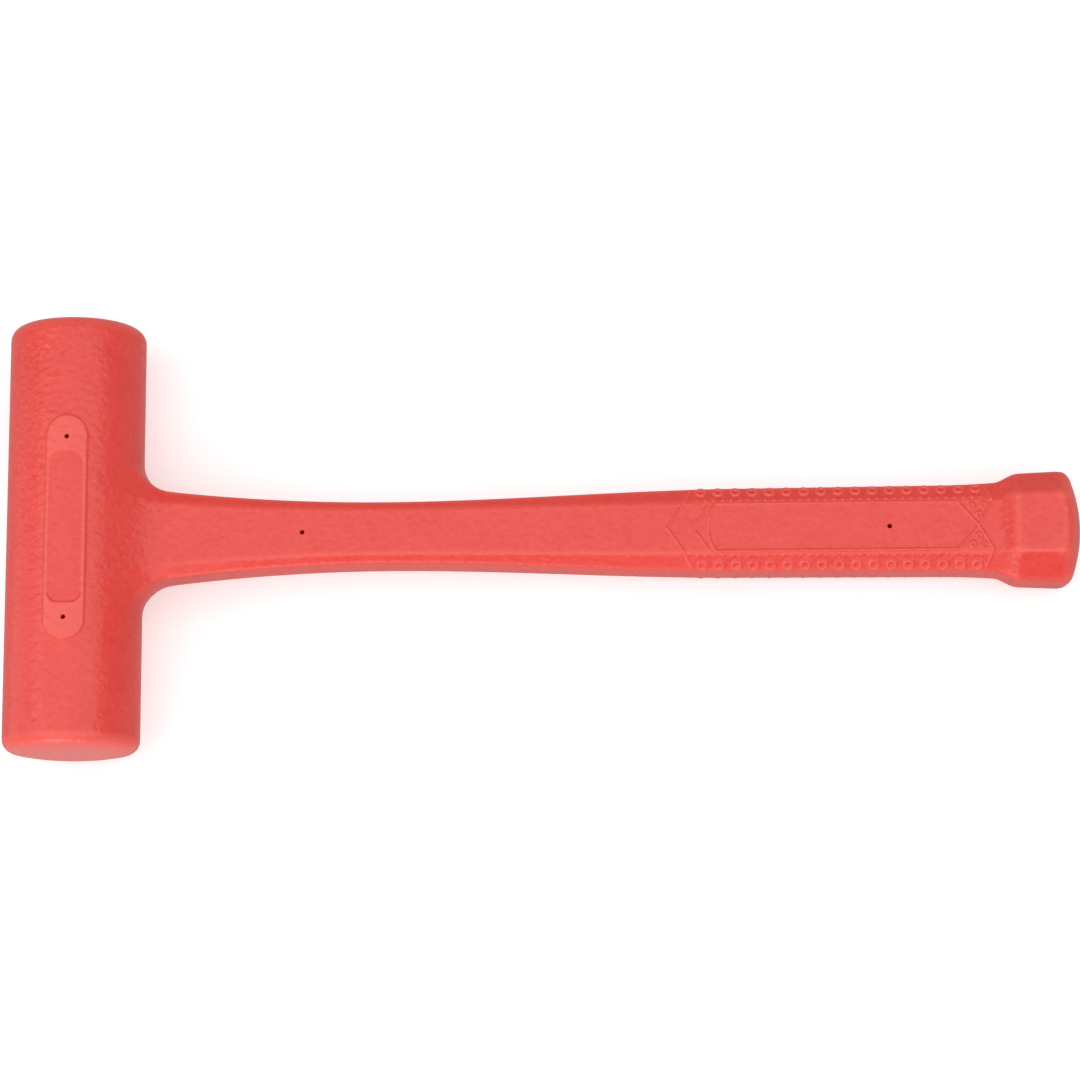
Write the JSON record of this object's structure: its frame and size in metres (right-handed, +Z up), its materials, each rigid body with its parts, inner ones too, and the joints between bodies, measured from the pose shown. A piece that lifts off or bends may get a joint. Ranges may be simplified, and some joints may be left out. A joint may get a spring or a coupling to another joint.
{
  "type": "dead blow mallet",
  "caption": "One-piece cast dead blow mallet with a slim round head, a loose shot charge sealed in a steel canister, and a flat octagonal grip that ends in a butt collar.",
  "frame": {"origin": "on the surface that the mallet lies on, under the middle of its overall box; the mallet lies on its side, on its head and on the underside of the butt collar", "axes": "+X from the head towards the butt, +Y along the head's axis from one striking face to the other, +Z up, across the flat of the handle"},
  "size_m": [0.3144, 0.128, 0.0408],
  "materials": {
    "urethane": "satin",
    "canister_steel": "satin",
    "rod_steel": "satin",
    "shot_steel": "polished"
  },
  "bodies": {
    "mallet": {"urethane_casting": "urethane", "canister_tube": "canister_steel", "canister_cap_1": "canister_steel", "canister_cap_2": "canister_steel", "handle_rod": "rod_steel"},
    "shot": {"shot_layer_01": "shot_steel", "shot_layer_02": "shot_steel", "shot_layer_03": "shot_steel", "shot_layer_04": "shot_steel", "shot_layer_05": "shot_steel", "shot_layer_06": "shot_steel", "shot_layer_07": "shot_steel", "shot_layer_08": "shot_steel", "shot_layer_09": "shot_steel", "shot_layer_10": "shot_steel", "shot_layer_11": "shot_steel", "shot_layer_12": "shot_steel", "shot_layer_13": "shot_steel", "shot_layer_14": "shot_steel", "shot_layer_15": "shot_steel"}
  },
  "joints": [
    {"name": "shot_slide", "type": "slide", "parent": "mallet", "child": "shot", "axis": [0, 1, 0], "range_m": [-0.0117, 0.0117]}
  ]
}
